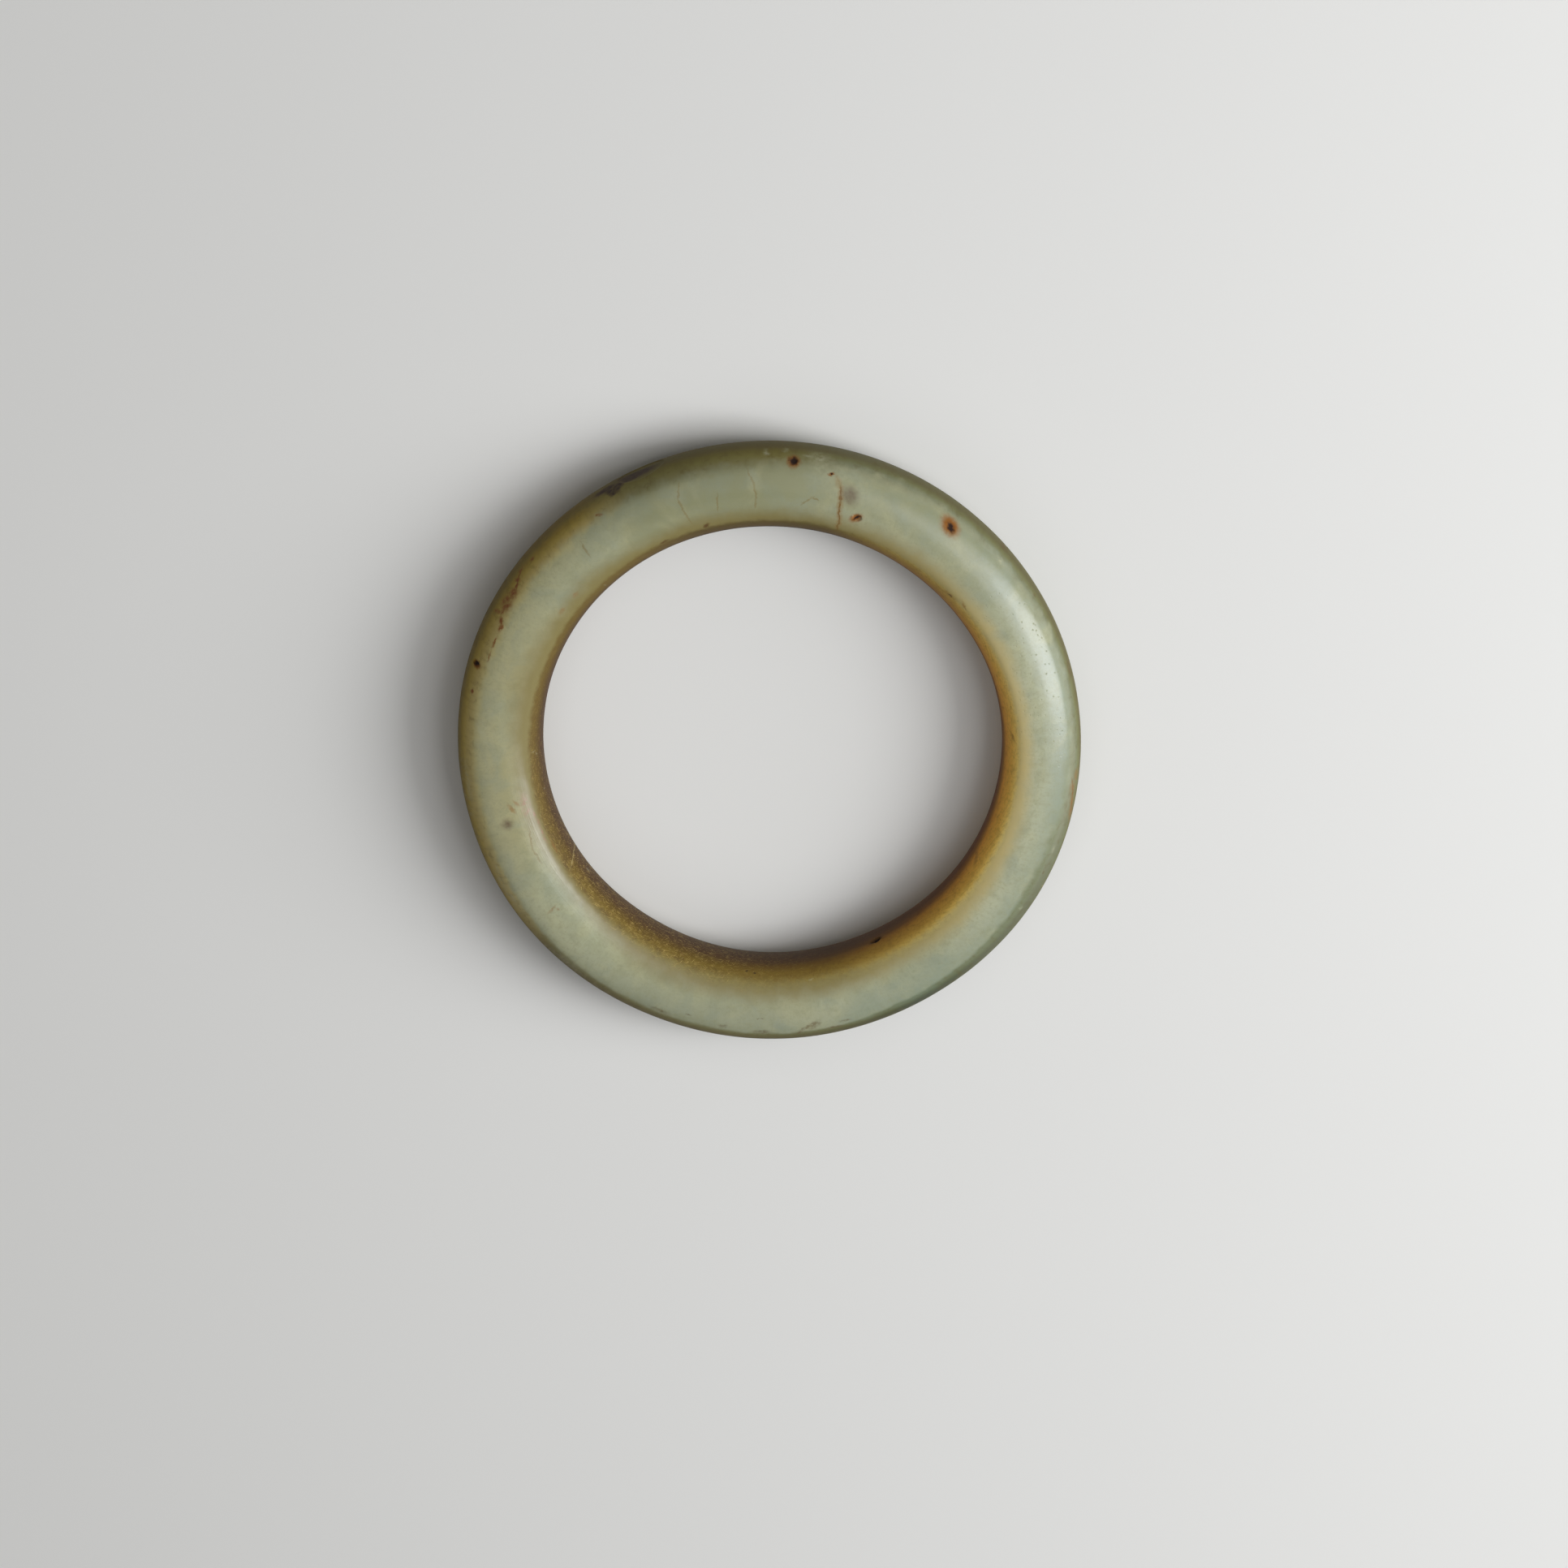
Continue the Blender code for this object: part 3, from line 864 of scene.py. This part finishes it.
class BangleFinish(bpy.types.PropertyGroup):
    """Colours and polish of the stone"""

    body: colour_prop("Body", "Grey-green body of the stone", "#949476")
    cool: colour_prop("Cool", "Cooler green towards the outer wall", "#828976")
    light: colour_prop("Light", "Lighter stretches of the body", "#9C9D7F")
    pale: colour_prop("Pale", "Palest stretch of the body", "#AAAA8C")
    warm: colour_prop("Warm", "Yellower stretch of the body", "#96906A")
    cream: colour_prop("Cream", "Clouds of cream", "#AAA57E")
    deep: colour_prop("Deep", "Deeper green between the fibres", "#838362")
    face_roughness: share_prop("Face roughness", "Roughness of the polished faces", 0.275)
    wall_roughness: share_prop("Wall roughness", "Roughness of the duller walls", 0.7)


class BangleStudio(bpy.types.PropertyGroup):
    """Colours of the stage"""

    floor: colour_prop("Floor", "Matt pale floor", "#D2D0CB")
    surround: colour_prop("Surround", "Pale walls far around the stage", "#D5D6D8")


class BANGLE_OT_stone(bpy.types.Operator):
    """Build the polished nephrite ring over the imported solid"""

    bl_idname = "bangle.stone"
    bl_label = "Nephrite Ring"
    bl_options = {"REGISTER", "UNDO"}

    def execute(self, context):
        shape = context.scene.bangle_shape
        mesh = ring_mesh(Band(shape), shape.turns, shape.leans)
        mesh.materials.append(nephrite(context.scene.bangle_finish))
        skin = bpy.data.objects.new("jade_bangle", mesh)
        context.scene.collection.objects.link(skin)
        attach(skin, "root")
        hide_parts("bangle")
        return {"FINISHED"}


# --- The stage -------------------------------------------------------------------------------

# The camera looks down on the ring from this far off the ring's axis, towards +Y and a little to +X
VIEW_LEAN = 19.25
VIEW_TURN = 4.3
VIEW_DISTANCE = 800 * MM
VIEW_WIDTH = 201.14 * MM  # what the frame takes in at the ring's distance
RING_LEFT = 1.88 * MM  # how far left of the frame's centre the ring's middle sits
RING_ABOVE = 5.12 * MM
SENSOR_WIDTH = 36  # as Blender's cameras give it, in millimetres

FLOOR_WIDTH = 6.0
SURROUND_STRENGTH = 0.1

# Lamps: azimuth, elevation and distance from the ring, then width and height, radiance and colour
LAMPS = {
    "key softbox, middle": ((0, 33.5, 0.76), (0.34, 0.55), 6.9, "#F7FAFF"),
    "key softbox, rim": ((4, 50, 0.75), (0.56, 0.66), 2.3, "#F7FAFF"),
    "far softbox": ((85, 68, 1.1), (1.0, 1.0), 0.5, "#FFFFFF"),
    "near softbox": ((250, 55, 1.0), (0.9, 0.7), 0.45, "#FFFFFF"),
}
WATTS_PER_RADIANCE = 4  # what each square metre of a softbox needs, as Blender counts it


def hang_lamp(name, place, size, radiance, hex_colour):
    """A rectangular softbox that faces the ring."""
    azimuth, elevation, distance = math.radians(place[0]), math.radians(place[1]), place[2]
    flat = math.cos(elevation) * distance
    lamp = bpy.data.lights.new(name, "AREA")
    lamp.shape = "RECTANGLE"
    lamp.size, lamp.size_y = size
    lamp.energy = radiance * WATTS_PER_RADIANCE * size[0] * size[1]
    lamp.color = linear(hex_colour)[:3]
    hung = bpy.data.objects.new(name, lamp)
    hung.location = (flat * math.cos(azimuth), flat * math.sin(azimuth), math.sin(elevation) * distance)
    hung.rotation_euler = hung.location.to_track_quat("Z", "Y").to_euler()
    bpy.context.scene.collection.objects.link(hung)


def look_down(scene):
    """The camera: it looks down on the ring so that +Y is up in the frame."""
    lean, turn = math.radians(VIEW_LEAN), math.radians(VIEW_TURN)
    to_camera = Vector((math.sin(lean) * math.sin(turn), math.sin(lean) * math.cos(turn), math.cos(lean)))
    middle = Vector((0, 0, (CAD_LOW.z + CAD_HIGH.z) / 2))
    frame_up = (Vector((0, 1, 0)) - to_camera * to_camera.y).normalized()
    place = middle + to_camera * VIEW_DISTANCE
    aim = middle + frame_up.cross(to_camera) * RING_LEFT - frame_up * RING_ABOVE
    back = (place - aim).normalized()
    right = frame_up.cross(back).normalized()
    data = bpy.data.cameras.new("camera")
    data.sensor_width = SENSOR_WIDTH
    data.lens = SENSOR_WIDTH * (place - aim).length / VIEW_WIDTH
    data.clip_start = 10 * MM
    camera = bpy.data.objects.new("camera", data)
    axes = Matrix((right, back.cross(right), back)).transposed()
    camera.matrix_world = Matrix.Translation(place) @ axes.to_4x4()
    scene.collection.objects.link(camera)
    scene.camera = camera


def matt_paper(settings):
    """Matt pale paper: it scatters light evenly and shows only soft shadows."""
    paper = bpy.data.materials.new("matt paper, rolled")
    paper.use_nodes = True
    shader = paper.node_tree.nodes["Principled BSDF"]
    shader.inputs["Base Color"].default_value = settings.floor
    shader.inputs["Roughness"].default_value = 0.9
    return paper


class BANGLE_OT_studio(bpy.types.Operator):
    """Set out the pale floor, the soft lamps and the camera"""

    bl_idname = "bangle.studio"
    bl_label = "Studio"
    bl_options = {"REGISTER", "UNDO"}

    def execute(self, context):
        settings = context.scene.bangle_studio
        bpy.ops.mesh.primitive_plane_add(size=FLOOR_WIDTH, location=(0, 0, CAD_LOW.z))
        floor = context.object
        floor.name = "floor"
        floor.data.materials.append(matt_paper(settings))
        for name, lamp in LAMPS.items():
            hang_lamp(name, *lamp)
        world = bpy.data.worlds.new("pale surround")
        world.use_nodes = True
        background = world.node_tree.nodes["Background"]
        background.inputs["Color"].default_value = settings.surround
        background.inputs["Strength"].default_value = SURROUND_STRENGTH
        context.scene.world = world
        context.scene.view_settings.view_transform = "Standard"
        look_down(context.scene)
        return {"FINISHED"}


class BANGLE_PT_panel(bpy.types.Panel):
    """Sizes, colours and builders of the jade bangle"""

    bl_label = "Jade Bangle"
    bl_idname = "BANGLE_PT_panel"
    bl_space_type = "VIEW_3D"
    bl_region_type = "UI"
    bl_category = "Jade Bangle"

    def draw(self, context):
        for name, kind in SETTINGS.items():
            box = self.layout.box()
            settings = getattr(context.scene, name)
            for entry in kind.__annotations__:
                box.prop(settings, entry)
        self.layout.operator(BANGLE_OT_stone.bl_idname)
        self.layout.operator(BANGLE_OT_studio.bl_idname)


SETTINGS = {"bangle_shape": BangleShape, "bangle_finish": BangleFinish, "bangle_studio": BangleStudio}
CLASSES = (*SETTINGS.values(), BANGLE_OT_stone, BANGLE_OT_studio, BANGLE_PT_panel)


def register():
    for kind in CLASSES:
        bpy.utils.register_class(kind)
    for name, kind in SETTINGS.items():
        setattr(bpy.types.Scene, name, PointerProperty(type=kind))


def unregister():
    for name in SETTINGS:
        delattr(bpy.types.Scene, name)
    for kind in reversed(CLASSES):
        bpy.utils.unregister_class(kind)


def main():
    register()
    bpy.ops.bangle.stone()
    bpy.ops.bangle.studio()


if __name__ == "__main__":
    main()
